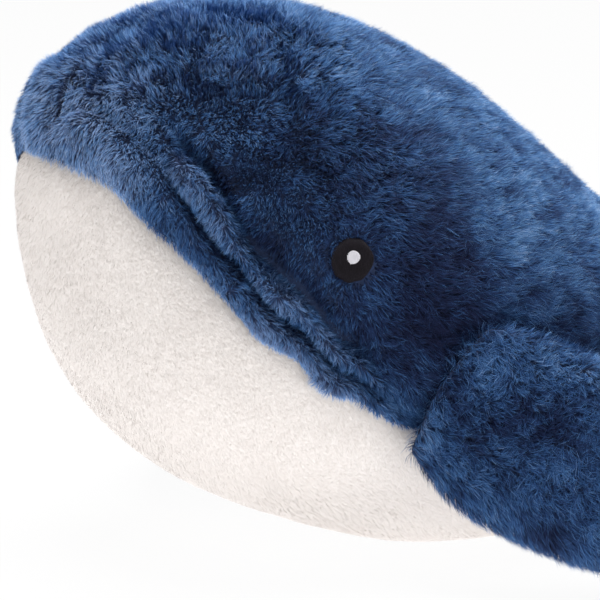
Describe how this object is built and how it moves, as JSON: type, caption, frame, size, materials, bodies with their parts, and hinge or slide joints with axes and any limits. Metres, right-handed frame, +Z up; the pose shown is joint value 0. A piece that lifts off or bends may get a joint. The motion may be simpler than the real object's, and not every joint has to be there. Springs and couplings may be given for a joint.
{
  "type": "plush whale",
  "caption": "Stuffed plush whale with a furry blue back, a white belly, soft side fins, tail flukes and embroidered eyes.",
  "frame": {"origin": "middle of the bounding box's underside, on the surface that the belly rests on", "axes": "+Z up, -Y forward out of the nose, +X towards the whale's own left side"},
  "size_m": [0.2878, 0.4188, 0.1796],
  "materials": {
    "blue_plush": "long soft pile, matt",
    "white_plush": "short soft pile, matt",
    "polyester_fibre": "loose fibre filling",
    "black_thread": "satin stitch",
    "white_thread": "satin stitch"
  },
  "bodies": {
    "body": {"left_back_panel": "blue_plush", "right_back_panel": "blue_plush", "belly_panel": "white_plush", "body_stuffing": "polyester_fibre", "left_eye_embroidery": "black_thread", "left_eye_glint": "white_thread", "right_eye_embroidery": "black_thread", "right_eye_glint": "white_thread"},
    "left_fin": {"left_fin_outer_skin": "blue_plush", "left_fin_inner_skin": "blue_plush", "left_fin_stuffing": "polyester_fibre"},
    "right_fin": {"right_fin_outer_skin": "blue_plush", "right_fin_inner_skin": "blue_plush", "right_fin_stuffing": "polyester_fibre"},
    "flukes": {"flukes_upper_skin": "blue_plush", "flukes_lower_skin": "blue_plush", "flukes_stuffing": "polyester_fibre"}
  },
  "joints": [
    {"name": "left_fin_flap", "type": "hinge", "parent": "body", "child": "left_fin", "pos_m": [0.0821, -0.11793, 0.06403], "axis": [-0.2644, -0.4604, -0.8474], "range_deg": [-8, 55], "stiffness_Nm_per_rad": 0.06},
    {"name": "right_fin_flap", "type": "hinge", "parent": "body", "child": "right_fin", "pos_m": [-0.0821, -0.11793, 0.06403], "axis": [-0.2644, 0.4604, 0.8474], "range_deg": [-8, 55], "stiffness_Nm_per_rad": 0.06},
    {"name": "flukes_bend", "type": "hinge", "parent": "body", "child": "flukes", "pos_m": [0, 0.13402, 0.04576], "axis": [1, 0, 0], "range_deg": [-30, 35], "stiffness_Nm_per_rad": 0.15}
  ]
}
